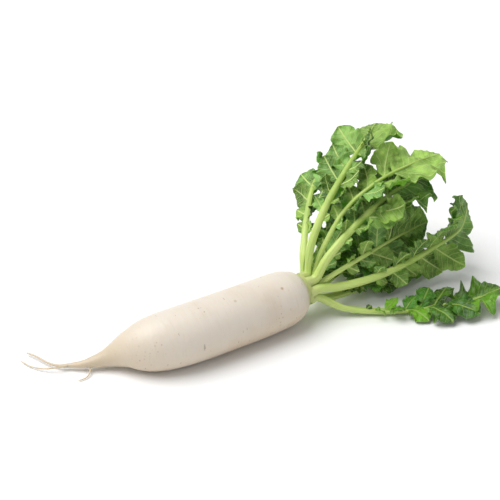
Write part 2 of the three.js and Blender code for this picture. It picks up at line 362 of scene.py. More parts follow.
def blend(tree, share, first, second):
    mix = wire(tree, "ShaderNodeMix", {"Factor": share}, data_type="RGBA")
    for socket, colour in ((mix.inputs[6], first), (mix.inputs[7], second)):
        if isinstance(colour, bpy.types.NodeSocket):
            tree.links.new(colour, socket)
        else:
            socket.default_value = (*colour, 1)
    return mix.outputs[2]


def speckle(tree, place, scale, detail=3.0, rough=0.55):
    inputs = {"Vector": place, "Scale": scale, "Detail": detail, "Roughness": rough}
    return wire(tree, "ShaderNodeTexNoise", inputs).outputs["Fac"]


def new_finish(name, roughness, subsurface=0.0, radius=(1, 0.6, 0.4), depth=0.003):
    material = bpy.data.materials.new(name)
    material.use_nodes = True
    shader = material.node_tree.nodes["Principled BSDF"]
    shader.inputs["Roughness"].default_value = roughness
    shader.inputs["Subsurface Weight"].default_value = subsurface
    shader.inputs["Subsurface Radius"].default_value = radius
    shader.inputs["Subsurface Scale"].default_value = depth
    return material, material.node_tree, shader


def surface(tree, shader, colour, height, distance):
    tree.links.new(colour, shader.inputs["Base Color"])
    bump = wire(tree, "ShaderNodeBump", {"Height": height, "Distance": distance, "Strength": 1.0})
    tree.links.new(bump.outputs["Normal"], shader.inputs["Normal"])


print("node helper ready")

# %% [markdown]
# Hairs, side roots and scars repeat all over the plant, so Geometry Nodes place them. Every such
# tree scatters points over the surface of a piece, sets a small shape on each and joins the result
# to the piece. The class holds the steps that the trees share, with all sizes in metres. The
# helper after it runs a tree on a piece and keeps the result as a plain mesh.


# %% Growing things on a surface
class Growth:
    """A Geometry Nodes tree that sets a shape on points of the surface it is given."""

    def __init__(self, name, sizes, seed):
        self.tree = bpy.data.node_groups.new(name, "GeometryNodeTree")
        self.tree.is_modifier = True
        self.seed = seed
        sockets = self.tree.interface
        sockets.new_socket("Surface", in_out="INPUT", socket_type="NodeSocketGeometry")
        sockets.new_socket("Result", in_out="OUTPUT", socket_type="NodeSocketGeometry")
        for size in sizes:
            sockets.new_socket(size, in_out="INPUT", socket_type="NodeSocketFloat")
        self.sizes = self.add("NodeGroupInput").outputs

    def add(self, kind, inputs=None, **settings):
        return wire(self.tree, kind, inputs, **settings)

    def maths(self, operation, a, b=0.0):
        return maths(self.tree, operation, a, b)

    def random(self, low, high, channel):
        """A random number for each point, or three of them where the limits are vectors."""
        three = isinstance(low, tuple)
        first = 0 if three else 2
        inputs = {first: low, first + 1: high, "Seed": self.seed + channel}
        kind = "FLOAT_VECTOR" if three else "FLOAT"
        node = self.add("FunctionNodeRandomValue", inputs, data_type=kind)
        return node.outputs[0 if three else 1]

    def axes(self):
        place = self.add("GeometryNodeInputPosition").outputs[0]
        return self.add("ShaderNodeSeparateXYZ", {0: place}).outputs

    def scatter(self, where):
        inputs = {"Mesh": self.sizes["Surface"], "Selection": where, "Seed": self.seed}
        inputs["Density"] = self.sizes["Density"]
        return self.add("GeometryNodeDistributePointsOnFaces", inputs).outputs

    def leaning(self, spots, low, high):
        """The rotation of each point, with a random turn on top."""
        turn = self.add("FunctionNodeEulerToRotation", {0: self.random(low, high, 2)})
        inputs = {"Rotation": spots["Rotation"], "Rotate By": turn.outputs[0]}
        made = self.add("FunctionNodeRotateRotation", inputs, rotation_space="LOCAL")
        return made.outputs[0]

    def finish(self, points, shape, rotation, scale, material):
        inputs = {"Points": points, "Instance": shape, "Rotation": rotation, "Scale": scale}
        placed = self.add("GeometryNodeInstanceOnPoints", inputs).outputs[0]
        real = self.add("GeometryNodeRealizeInstances", {0: placed}).outputs[0]
        grown = self.add("GeometryNodeSetMaterial", {"Geometry": real, "Material": material})
        whole = self.add("GeometryNodeJoinGeometry", {0: grown.outputs[0]})
        self.tree.links.new(self.sizes["Surface"], whole.inputs[0])
        self.add("NodeGroupOutput", {0: whole.outputs[0]})


def grow(piece, growth, **sizes):
    """Runs a growth on a piece and keeps the result as the piece's plain mesh."""
    modifier = piece.modifiers.new(growth.tree.name, "NODES")
    modifier.node_group = growth.tree
    for item in growth.tree.interface.items_tree:
        if item.name in sizes:
            modifier[item.identifier] = sizes[item.name]
    before = len(piece.data.polygons)
    result = piece.evaluated_get(bpy.context.evaluated_depsgraph_get())
    grown = bpy.data.meshes.new_from_object(result)
    piece.modifiers.remove(modifier)
    piece.data = grown
    return len(grown.polygons) - before


print("growth helpers ready")

# %% [markdown]
# The skin of the root is cream white and a little see-through, so light sinks in and softens it.
# Near the floor it is painted warmer and darker: that is painted shade under the root.
# It turns beige towards the tail and a pale yellow green at the crown. Fine marks run round the
# root, so their pattern is squeezed along its length. Groups of brown pores come from noise, and
# one healed cut is placed where the photo shows it. Everything follows Object coordinates, which
# are metres here.

# %% Root skin
CREAM = (0.77, 0.7, 0.61)
# a warm beige for real patches and marks, also used as painted shade near the floor
WARM_TONE_AND_SHADE = (0.65, 0.54, 0.41)
TAIL_BEIGE = (0.6, 0.5, 0.36)
CROWN_GREEN = (0.45, 0.5, 0.17)
SCAR_BROWN = (0.34, 0.2, 0.08)
BRUISE = (0.27, 0.22, 0.15)
BRUISE_SPOT = Vector((-32, -29.5, 31)) * MM
BRUISE_SIZE = Vector((2.2, 5, 6)) * MM
BRUISE_FRAY = 1.4
PORE_SCALE = 300.0
PORE_EDGE = (0.34, 0.16)
PORE_SIZES = (0.5, 0.8)
PORE_GROUPS = (0.53, 0.66)
SPOT_SCALE = 55.0
SPOT_EDGE = (0.13, 0.05)
SPOT_PICK = (0.86, 0.9)
MARK_SQUEEZE = (9.0, 1.0, 1.0)
# painted shade: none at the first height, full at the second, just above the floor
PAINTED_SHADE_BELOW = (0.052, 0.004)
TAIL_SPAN = (-0.05, -0.135)
CROWN_SPAN = (0.0995, 0.1075)
SKIN_RELIEF = 0.00022


def bruise(tree, place):
    """How much of the old cut there is: an oval across the root, frayed by noise."""
    scale = Vector([1 / size for size in BRUISE_SIZE])
    centre = -BRUISE_SPOT * scale
    inputs = {"Vector": place, "Location": centre, "Scale": scale}
    oval = wire(tree, "ShaderNodeMapping", inputs).outputs[0]
    away = wire(tree, "ShaderNodeVectorMath", {0: oval}, operation="LENGTH").outputs["Value"]
    frayed = plus(tree, away, times(tree, speckle(tree, place, 700.0), BRUISE_FRAY))
    return between(tree, frayed, 1.5, 0.8)


def pores(tree, place):
    """Tiny brown dots that stand together in a few places."""
    dots = wire(tree, "ShaderNodeTexVoronoi", {"Vector": place, "Scale": PORE_SCALE})
    size = wire(tree, "ShaderNodeSeparateColor", {"Color": dots.outputs["Color"]}).outputs[1]
    dot = between(tree, dots.outputs["Distance"], *PORE_EDGE)
    dot = times(tree, dot, between(tree, size, *PORE_SIZES))
    groups = between(tree, speckle(tree, place, 30.0, detail=1), *PORE_GROUPS)
    return times(tree, dot, groups)


def spots_in(tree, place):
    """Round brown spots, one in every few cells of a coarse pattern."""
    cells = wire(tree, "ShaderNodeTexVoronoi", {"Vector": place, "Scale": SPOT_SCALE})
    pick = wire(tree, "ShaderNodeSeparateColor", {"Color": cells.outputs["Color"]}).outputs[0]
    spot = between(tree, cells.outputs["Distance"], *SPOT_EDGE)
    return times(tree, spot, between(tree, pick, *SPOT_PICK))


def warmth_and_painted_shade(tree, place, height, marks):
    """Warm patches and fine marks of the skin, and painted shade low down near the floor."""
    patches = times(tree, between(tree, speckle(tree, place, 16.0), 0.44, 0.7), 0.5)
    # painted shade: the lower part of the skin turns warmer and darker towards the floor
    low = times(tree, between(tree, height, *PAINTED_SHADE_BELOW), 0.62)
    marked = times(tree, between(tree, marks, 0.55, 0.75), 0.22)
    return clamped(tree, plus(tree, plus(tree, patches, low), marked))


def make_skin():
    material, tree, shader = new_finish(
        "root_skin", 0.42, subsurface=0.35, radius=(1, 0.75, 0.5), depth=0.004
    )
    place = object_place(tree)
    axes = wire(tree, "ShaderNodeSeparateXYZ", {"Vector": place}).outputs
    squeezed = wire(tree, "ShaderNodeMapping", {"Vector": place, "Scale": MARK_SQUEEZE})
    marks = speckle(tree, squeezed.outputs[0], 60.0, detail=4)
    spots, dots, cut = spots_in(tree, place), pores(tree, place), bruise(tree, place)
    tail = times(tree, between(tree, axes["X"], *TAIL_SPAN), 0.85)
    # this blend holds both real warm patches and marks and painted shade near the floor
    colour = blend(tree, warmth_and_painted_shade(tree, place, axes["Z"], marks), CREAM, WARM_TONE_AND_SHADE)
    colour = blend(tree, tail, colour, TAIL_BEIGE)
    colour = blend(tree, between(tree, axes["X"], *CROWN_SPAN), colour, CROWN_GREEN)
    colour = blend(tree, times(tree, spots, 0.55), colour, SCAR_BROWN)
    colour = blend(tree, times(tree, dots, 0.5), colour, SCAR_BROWN)
    colour = blend(tree, times(tree, cut, 0.6), colour, BRUISE)
    sunken = plus(tree, times(tree, spots, 0.6), cut)
    surface(tree, shader, colour, maths(tree, "SUBTRACT", marks, sunken), SKIN_RELIEF)
    return material


SKIN = make_skin()
print("finish:", SKIN.name)

# %% [markdown]
# The root is a tube through listed rings: each has the middle of its section and its radius.
# A smooth line through all four numbers gives as many rings between them as the eye needs. The
# belly is cut flat where it rests, by lifting every point that would lie under the surface.

# %% Root rings
ROOT_RADIUS = 31
BELLY_SINK = 0.6
ROOT_RINGS = [
    (109.5, 5.6, 33.2, 0.55),
    (105.5, 5.4, 32.9, 0.57),
    (102, 5.3, 32.6, 0.68),
    (96.5, 5, 32.2, 0.8),
    (88.5, 4.6, 31.4, 0.9),
    (75, 3.9, 30.6, 0.965),
    (52, 3, None, 0.99),
    (18, 1.6, None, 1),
    (-18, 1.2, None, 1),
    (-45, 2.6, None, 0.985),
    (-62, 5.6, 28.8, 0.95),
    (-74, 10, 26.8, 0.88),
    (-84, 15.5, 24, 0.76),
    (-93, 21.5, 20.4, 0.6),
    (-103, 27, 15.8, 0.42),
    (-113, 31.5, 12, 0.28),
    (-123, 35.4, 9.6, 0.2),
    (-133, 39.8, 7.4, 0.135),
    (-144, 47.5, 5.4, 0.085),
    (-153, 54, 4.4, 0.05),
    (-160, 64, 4.2, 0.036),
    (-166, 82, 4.6, 0.03),
    (-170, 93, 3.4, 0.026),
]
ROOT_SIDES = 128
RINGS_PER_SPAN = 12


def ring_sizes():
    """Middle and radius of every drawn ring, in millimetres, from the crown to the tail."""
    rings = []
    for x, y, z, share in ROOT_RINGS:
        radius = ROOT_RADIUS * share
        rings.append((x, y, radius - BELLY_SINK if z is None else z, radius))
    line = catmull_rom(rings)[:: SPAN_STEPS // RINGS_PER_SPAN]
    return line[:, :3], line[:, 3]


root_middles, root_radii = ring_sizes()
print("root rings:", len(root_middles), "thickest", round(root_radii.max() * 2, 1), "mm")

# %% [markdown]
# A real root is never turned on a lathe. Slow swells across and along it, faint rings where it
# grew in spurts and a few shallow dents make its outline alive. They are only tenths of a
# millimetre, so the size stays what the solid says. Closing rings dome the crown over.

# %% Root body
SWELL = 0.45
GROWTH_RING = 0.07
CROWN_DOME = 0.9
ROOTLETS = [
    [(-143, 47, 5.4), (-156, 50, 6), (-168, 58, 4), (-177, 72, 2), (-181, 88, 1.6)],
    [(-128, 37, 8.4), (-131, 30, 4), (-138, 25, 1.8), (-148, 25, 1.4)],
]
ROOTLET_RADIUS = 1
ROOTLET_SIDES = 12
ROOTLET_ROWS = 60
DOME_RINGS = 10
DOME_TOP = 0.08
ROOT_WAVES = (2, 3, 5)


def add_rootlet(body, route):
    """A side root that thins out and wanders a little, as it did round stones in the soil."""
    t = np.linspace(0, 1, ROOTLET_ROWS + 1)
    turn = np.linspace(0, math.tau, ROOTLET_SIDES, endpoint=False)
    forward = route.forward(t)
    sideways = unit(np.cross((0, 0, 1), forward))
    upward = np.cross(forward, sideways)
    thin = (1 - 0.5 * t) * (1 + 0.12 * ripple(t * 3, 9, ROOT_WAVES)) * np.minimum((1.02 - t) * 8, 1)
    radius = (ROOTLET_RADIUS * thin)[:, None]
    x, y = radius * np.sin(turn), radius * np.cos(turn)
    grid = set_off(route.at(t), sideways, x, upward, y)
    body.tube(grid, np.zeros((*grid.shape[:2], 2)), 0.5, 0)


def ring_frames(middles):
    along = unit(np.gradient(middles, axis=0)) * -1
    along[0] = unit(middles[0] - middles[RINGS_PER_SPAN])
    sideways = unit(np.cross((0, 0, 1), along))
    return along, sideways, np.cross(along, sideways)


def make_root():
    along, sideways, upward = ring_frames(root_middles)
    turn = np.linspace(0, math.tau, ROOT_SIDES, endpoint=False)
    share = np.linspace(0, 1, len(root_middles))[:, None]
    oval = np.cos(turn[None, :] * 2 + share * 7)
    swell = SWELL * ripple(share * 2, 3, ROOT_WAVES) * oval
    spurts = GROWTH_RING * np.sin(share * 420 + 2 * np.sin(turn[None, :]))
    thick = np.minimum(root_radii[:, None] / 20, 1)
    radius = root_radii[:, None] + (swell + spurts) * thick
    x, y = radius * np.cos(turn), radius * np.sin(turn)
    grid = set_off(root_middles, sideways, x, upward, y)
    dome = [
        root_middles[0] + (grid[0] - root_middles[0]) * k + along[0] * CROWN_DOME * (1 - k**2)
        for k in np.linspace(1, DOME_TOP, DOME_RINGS)[:0:-1]
    ]
    grid = np.concatenate([np.array(dome), grid])
    grid[..., 2] = np.maximum(grid[..., 2], 0)
    body = Patchwork()
    body.tube(grid, np.zeros((*grid.shape[:2], 2)), 0.5, 0)
    for points in ROOTLETS:
        add_rootlet(body, Route(points))
    return body.to_object("root_body", [SKIN])


root_body = make_root()
print("root faces:", len(root_body.data.polygons))

# %% [markdown]
# Fine side roots break off when a daikon is pulled and washed. Each leaves a small brown scar
# that lies across the root like a slit. The scar is a flat lens, turned so that it lies on the skin
# with its long side round the root.

# %% Scars on the root
SCARS = dict(Density=1100.0, Length=0.0042, Width=0.0007, Height=0.00035)
SCARS_BEFORE = 0.1
SCARS_ABOVE = 0.006


def make_scar_finish():
    material, tree, shader = new_finish("root_scar", 0.7)
    place = object_place(tree)
    colour = blend(tree, speckle(tree, place, 400.0), SCAR_BROWN, WARM_TONE_AND_SHADE)
    surface(tree, shader, colour, speckle(tree, place, 900.0), 0.0002)
    return material


def make_scars():
    growth = Growth("root_scars", ("Density", "Length", "Width", "Height"), seed=4)
    axes = growth.axes()
    on_body = growth.maths("LESS_THAN", axes["X"], SCARS_BEFORE)
    above = growth.maths("GREATER_THAN", axes["Z"], SCARS_ABOVE)
    spots = growth.scatter(growth.maths("MULTIPLY", on_body, above))
    stood = growth.add("FunctionNodeAlignRotationToVector", {"Vector": spots["Normal"]}, axis="Z")
    turned = growth.add(
        "FunctionNodeAlignRotationToVector",
        {"Rotation": stood.outputs[0], "Vector": (1, 0, 0)},
        axis="X",
        pivot_axis="Z",
    )
    size = growth.add(
        "ShaderNodeCombineXYZ",
        {"X": growth.sizes["Width"], "Y": growth.sizes["Length"], "Z": growth.sizes["Height"]},
    )
    inputs = {0: size.outputs[0], "Scale": growth.random(0.35, 1.0, 1)}
    sized = growth.add("ShaderNodeVectorMath", inputs, operation="SCALE").outputs[0]
    lens = growth.add("GeometryNodeMeshUVSphere", {"Segments": 8, "Rings": 4, "Radius": 0.5})
    finish = make_scar_finish()
    growth.finish(spots["Points"], lens.outputs[0], turned.outputs[0], sized, finish)
    return growth


print("scar faces:", grow(root_body, make_scars(), **SCARS))

# %% [markdown]
# A few hair-fine threads are still on the tail. Each is a short bent line with a round section
# that thins to its tip. Points low on the tail get none, so no thread dips into the floor.

# %% Threads on the tail
THREADS = dict(Density=9000.0, Length=0.011, Radius=0.00016)
THREADS_PAST = -0.1
THREADS_ABOVE = 0.0065
THREAD_START = (0, 0, -0.0004)
THREAD_BEND = 0.6
THREAD_RISE = 0.35
THREAD_THINNING = 0.85


def make_threads():
    growth = Growth("tail_threads", ("Density", "Length", "Radius"), seed=11)
    axes = growth.axes()
    on_tail = growth.maths("LESS_THAN", axes["X"], THREADS_PAST)
    above = growth.maths("GREATER_THAN", axes["Z"], THREADS_ABOVE)
    spots = growth.scatter(growth.maths("MULTIPLY", on_tail, above))
    reach = growth.sizes["Length"]
    bend = growth.add("ShaderNodeCombineXYZ", {"Z": growth.maths("MULTIPLY", reach, THREAD_BEND)})
    rise = growth.maths("MULTIPLY", reach, THREAD_RISE)
    tip = growth.add("ShaderNodeCombineXYZ", {"X": reach, "Z": rise}).outputs[0]
    corners = {"Start": THREAD_START, "Middle": bend.outputs[0], "End": tip}
    line = growth.add("GeometryNodeCurveQuadraticBezier", {"Resolution": 7, **corners})
    share = growth.add("GeometryNodeSplineParameter").outputs["Factor"]
    thin = growth.maths("SUBTRACT", 1.0, growth.maths("MULTIPLY", share, THREAD_THINNING))
    radius = growth.maths("MULTIPLY", thin, growth.sizes["Radius"])
    ring = growth.add("GeometryNodeCurvePrimitiveCircle", {"Resolution": 5, "Radius": 1.0})
    inputs = {"Curve": line.outputs[0], "Profile Curve": ring.outputs[0], "Scale": radius}
    thread = growth.add("GeometryNodeCurveToMesh", {**inputs, "Fill Caps": True})
    rotation = growth.leaning(spots, (-0.3, -0.3, -3.1), (0.3, 0.3, 3.1))
    scale = growth.random(0.3, 1.0, 3)
    growth.finish(spots["Points"], thread.outputs[0], rotation, scale, SKIN)
    return growth


print("thread faces:", grow(root_body, make_threads(), **THREADS))
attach(root_body, "root")
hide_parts("root")

# %% [markdown]
# A leaf has two faces. The upper one is a deep, fresh green with sunken veins. The under one is
# paler and greyer, and its veins stand out. Both read the flat map of a lobe: the midrib is where
# its second number is zero, and side veins leave it at a slant. A net of finer veins comes from
# the borders of small cells. Each lobe has a tone of its own, and some lobes turn out cooler.

# %% Leaf finishes
UPPER_DEEP = (0.01, 0.042, 0.002)
UPPER_FRESH = (0.18, 0.46, 0.01)
UPPER_VEIN = (0.29, 0.43, 0.09)
UNDER_DEEP = (0.026, 0.095, 0.003)
UNDER_FRESH = (0.38, 0.61, 0.11)
UNDER_VEIN = (0.55, 0.7, 0.22)
UPPER_COOL = (0.045, 0.25, 0.018)
UNDER_COOL = (0.21, 0.47, 0.12)
VEIN_SPACING = 0.075
VEIN_SLANT = 0.75
VEIN_WOBBLE = 0.03
VEIN_EDGE = (0.43, 0.49)
MIDRIB_EDGE = (0.011, 0.004)
NET_SCALE = 330.0
NET_SHARE = 0.22
TONE_SHARE = 0.55
COOL_STEP = 7.3
COOL_SPAN = (0.45, 0.9)
COOL_SHARE = 0.75
BLADE_RELIEF = 0.0005


def vein_pattern(tree, place):
    """How much of a vein there is, from 0 to 1, and the fine net between the veins."""
    _, sides = flat_map(tree)
    across = maths(tree, "ABSOLUTE", sides["Y"])
    slanted = maths(tree, "SUBTRACT", sides["X"], times(tree, across, VEIN_SLANT))
    wobble = times(tree, speckle(tree, place, 90.0, detail=2), VEIN_WOBBLE)
    step = maths(tree, "DIVIDE", plus(tree, slanted, wobble), VEIN_SPACING)
    middle = maths(tree, "SUBTRACT", maths(tree, "FRACT", step), 0.5)
    side_vein = between(tree, maths(tree, "ABSOLUTE", middle), *VEIN_EDGE)
    midrib = between(tree, across, *MIDRIB_EDGE)
    inputs = {"Vector": place, "Scale": NET_SCALE}
    cells = wire(tree, "ShaderNodeTexVoronoi", inputs, feature="DISTANCE_TO_EDGE")
    net = between(tree, cells.outputs["Distance"], 0.09, 0.0)
    return maths(tree, "MAXIMUM", times(tree, side_vein, 0.75), midrib), net


def make_blade(name, deep, fresh, cool, vein_colour, sunken, roughness):
    material, tree, shader = new_finish(
        name, roughness, subsurface=0.25, radius=(0.6, 1, 0.2), depth=0.0015
    )
    place = object_place(tree)
    tone = wire(tree, "ShaderNodeAttribute", attribute_name="tone").outputs["Fac"]
    vein, net = vein_pattern(tree, place)
    clouds = between(tree, speckle(tree, place, 45.0), 0.35, 0.68, 0.0, 0.6)
    freshness = clamped(tree, plus(tree, clouds, times(tree, tone, TONE_SHARE)))
    cast = maths(tree, "FRACT", times(tree, tone, COOL_STEP))
    cast = between(tree, cast, *COOL_SPAN, 0.0, COOL_SHARE)
    colour = blend(tree, freshness, deep, blend(tree, cast, fresh, cool))
    colour = blend(tree, times(tree, net, NET_SHARE), colour, vein_colour)
    colour = blend(tree, vein, colour, vein_colour)
    relief = plus(tree, vein, times(tree, net, 0.3))
    relief = times(tree, relief, -1.0 if sunken else 1.0)
    fine = times(tree, speckle(tree, place, 700.0), 0.25)
    surface(tree, shader, colour, plus(tree, relief, fine), BLADE_RELIEF)
    return material


upper_colours = (UPPER_DEEP, UPPER_FRESH, UPPER_COOL, UPPER_VEIN)
under_colours = (UNDER_DEEP, UNDER_FRESH, UNDER_COOL, UNDER_VEIN)
LEAF_UPPER = make_blade("leaf_upper", *upper_colours, sunken=True, roughness=0.4)
LEAF_UNDER = make_blade("leaf_under_side", *under_colours, sunken=False, roughness=0.55)
print("finishes:", LEAF_UPPER.name, LEAF_UNDER.name)

# %% [markdown]
# The stalk is smooth, firm and pale yellow green, nearly white where it leaves the crown. Fine
# streaks run along it. Its flat map counts along the stalk and round it, so the streaks are noise
# that is squeezed round the stalk and stretched along it.

# %% Stalk finish
STALK_PALE = (0.6, 0.73, 0.22)
STALK_GREEN = (0.3, 0.48, 0.07)
STALK_BASE = (0.52, 0.57, 0.23)
STREAK_SQUEEZE = (1.5, 40.0, 1.0)
STALK_RELIEF = 0.0003


def make_stalk_finish():
    material, tree, shader = new_finish(
        "leaf_stalk", 0.36, subsurface=0.3, radius=(0.8, 1, 0.3), depth=0.002
    )
    flat, sides = flat_map(tree)
    length = sides["X"]
    squeezed = wire(tree, "ShaderNodeMapping", {"Vector": flat, "Scale": STREAK_SQUEEZE})
    streaks = speckle(tree, squeezed.outputs[0], 1.0, detail=4)
    clouds = speckle(tree, object_place(tree), 38.0)
    outer = between(tree, length, 0.2, 1.6, 0.0, 0.45)
    green = plus(tree, outer, between(tree, streaks, 0.4, 0.75, 0.0, 0.45))
    green = clamped(tree, plus(tree, green, between(tree, clouds, 0.4, 0.7, 0.0, 0.3)))
    colour = blend(tree, green, STALK_PALE, STALK_GREEN)
    colour = blend(tree, between(tree, length, 0.14, 0.0, 0.0, 0.8), colour, STALK_BASE)
    surface(tree, shader, colour, streaks, STALK_RELIEF)
    return material


STALK = make_stalk_finish()
print("finish:", STALK.name)

# %% [markdown]
# Every leaf starts on a ring round the crown, like the hours on a clock, leaves it straight and
# then follows its own rib. The upper face looks in to the middle of the rosette at first and turns
# to its own side further out. So one rule gives, at any share of the rib, a point and three
# directions: forward, out of the upper face, and across.

# %% Crown and ribs
JOIN_GAP = 0.3
NECK = 11
NECK_SPREAD = 1.5
TURNED_BY = 0.45
CROWN_MIDDLE = root_middles[0]
CROWN_AXIS = unit(CROWN_MIDDLE - np.array(ROOT_RINGS[1][:3], float))
CROWN_FRONT = unit(np.cross(CROWN_AXIS, (0, 0, 1)))
CROWN_UP = np.cross(CROWN_FRONT, CROWN_AXIS)


class Rib:
    """The middle line of a leaf, from the crown to the tip, with its directions."""

    def __init__(self, leaf):
        clock = math.radians(leaf["clock"])
        self.outward = CROWN_UP * math.cos(clock) + CROWN_FRONT * math.sin(clock)
        self.facing = unit(np.array(leaf["facing"], float))
        base = CROWN_MIDDLE + CROWN_AXIS * JOIN_GAP + self.outward * leaf["ring"]
        neck = base + CROWN_AXIS * NECK + self.outward * NECK_SPREAD
        self.route = Route([base, neck, *leaf["path"]])
        self.length = self.route.length

    def at(self, t):
        t = np.atleast_1d(np.asarray(t, float))
        point, forward = self.route.at(t), self.route.forward(t)
        turned = smooth(np.clip(t / TURNED_BY, 0, 1))[:, None]
        facing = -self.outward * (1 - turned) + self.facing * turned
        normal = unit(facing - forward * (facing * forward).sum(-1, keepdims=True))
        return point, forward, normal, np.cross(forward, normal)


print("crown at", np.round(CROWN_MIDDLE, 1), "mm")

# %% [markdown]
# The edge of a lobe swells and narrows like half a wave, and teeth are laid over it. A tooth rises
# slowly and falls fast towards the tip, so it leans forward as a real one does, and a second set
# of small teeth breaks the big ones up. The last teeth of an end lobe are lower than the others.

# %% Leaf edges
BLADE_THICKNESS = 0.5
SPRING = 0.02
FULLNESS = 0.62
LOBE_LEAN = 1.15
END_LEAN = 1.05
TOOTH_PEAK = 0.62
LOBE_TOOTH = 0.15
END_TOOTH = 0.13


def toothed(v, teeth, height, shift):
    share = (v * teeth + shift) % 1
    rise = np.where(share < TOOTH_PEAK, share / TOOTH_PEAK, (1 - share) / (1 - TOOTH_PEAK))
    small = np.abs(((v * teeth * 3.0 + shift * 1.7) % 1) - 0.5) * 2
    return 1 - height + 2 * height * np.sqrt(smooth(rise)) + 0.05 * (small - 0.5)


def edge(v, lean, teeth, height, shift):
    """Half width along a blade, as a share of its widest, with the teeth on it."""
    arch = np.maximum(0, np.sin(math.pi * v**lean))
    return np.maximum(arch**FULLNESS, SPRING) * toothed(v, teeth, height, shift)


def lobe_edge(v, teeth, shift):
    return edge(v, LOBE_LEAN, teeth, LOBE_TOOTH, shift)


def end_edge(v, teeth, shift):
    return edge(v, END_LEAN, teeth, END_TOOTH * np.clip((1 - v) * 5, 0.25, 1), shift)


print("edge at the middle of a lobe:", lobe_edge(np.array([0.5]), 2, 0.0).round(2))

# %% [markdown]
# Between its side veins the blade puffs up, and towards the margin it ruffles. Both are heights
# above the plain blade: the puffs follow the same slanted veins that the finish draws, and the
# ruffles are slow waves that grow towards the margin and calm down at both ends of a lobe. A few
# soft dents in between crumple it.

# %% Blade relief
PUFF = 1.1
PUFF_START = 4
PUFF_FULL = 10
RUFFLE = 0.48
RUFFLE_WAVES = (2, 3, 5)
BASE_CALM = 3
TIP_CALM = 2.2
CRUMPLE = 0.2


def blade_relief(v, h, along, across, half, seed):
    """Heights of a blade's points, from their shares v, h and their places on the flat map."""
    slanted = (along - np.abs(across) * VEIN_SLANT) / (VEIN_SPACING * MAP_UNIT)
    start = smooth(np.clip(np.abs(across) / PUFF_START, 0, 1))
    puffs = PUFF * np.abs(np.sin(math.pi * slanted)) * start * np.minimum(half / PUFF_FULL, 1)
    left = ripple(v * 1.2, seed, RUFFLE_WAVES)
    right = ripple(v * 1.2 + 0.5, seed + 7, RUFFLE_WAVES)
    wave = np.where(h < 0, left, right)
    fade = smooth(np.clip(v * BASE_CALM, 0, 1)) * smooth(np.clip((1 - v) * TIP_CALM, 0, 1))
    ruffles = RUFFLE * np.abs(across * h) * wave * fade
    dents = np.sin(math.tau * (1.3 * v + 0.6 * h + draw(seed, 0, 0, 20)))
    dents = dents * np.sin(math.tau * (0.9 * v - 0.8 * h + draw(seed, 0, 0, 21)))
    return puffs + ruffles + CRUMPLE * half * dents * np.sin(math.pi * v) * np.abs(h) ** 0.5


def spread_columns(count):
    """Shares across a blade from -1 to 1, closer together near the midrib."""
    even = np.linspace(-1, 1, count + 1)
    return (np.sign(even) * np.abs(even) ** 1.25)[None, :]


print("columns:", spread_columns(4).round(2))

# %% [markdown]
# A side lobe is a small leaf of its own. It springs from the rib at a slant, is tipped like the
# slat of a blind, rises from the rib, and then bends back and twists. The numbers come from the
# leaf's own sizes and the same draws as in its solid, so the fine lobe lies where the plain one
# is. The clearance keeps the lowest lobes above the floor.

# %% Side lobes
SMALLEST_LOBE = 0.2
LOBE_GROWTH = 0.7
TEETH_FROM = (0.5, 0.86)
TEETH_SHIFT = 0.1
LOBE_FIRST = 0.4
LOBE_STAGGER = 0.2
LOBE_STRAY = (-0.2, 0.2)
LOBE_LENGTH = (0.82, 1.16)
LOBE_HALF_WIDTH = (0.31, 0.37)
LOBE_SLANT = (44, 66)
LOBE_LIFT = (-15, 15)
LOBE_TILT = (-6, 40)
LOBE_TWIST = (-45, 45)
LOBE_CURL = (-14, 42)
LOBE_CUP = 0.16
FOLD_WAVE = 8
LOBE_ROWS = (12, 32)
LOBE_COLUMNS = (5, 10)
FLOOR_CLEARANCE = 0.6


def lobe_shape(leaf, index, side):
    def pick(channel, spread=(0, 1)):
        return lerp(*spread, draw(leaf["seed"], index, side, channel))

    place = index + LOBE_FIRST + LOBE_STAGGER * side + pick(10, LOBE_STRAY)
    along = place / leaf["pairs"]
    size = lerp(SMALLEST_LOBE, 1, along**LOBE_GROWTH)
    length = leaf["lobe"] * size * pick(1, LOBE_LENGTH)
    wave = FOLD_WAVE * math.sin(leaf["seed"] * 2.1 + index * 0.8 + side)
    return dict(
        at=lerp(leaf["start"], leaf["end"], along),
        length=length,
        half=length * pick(2, LOBE_HALF_WIDTH),
        angle=math.radians(pick(3, LOBE_SLANT)),
        fold=math.radians(leaf["fold"] + wave + pick(4, LOBE_LIFT)),
        tilt=math.radians(side * pick(5, LOBE_TILT)),
        twist=math.radians(pick(11, LOBE_TWIST)),
        curl=math.radians(max(1, leaf["curl"] + pick(6, LOBE_CURL))),
        teeth=1 + sum(size > limit for limit in TEETH_FROM),
        tone=pick(7),
    )


def turned_about(axis, vector, angle):
    return vector * math.cos(angle) + np.cross(axis, vector) * math.sin(angle)


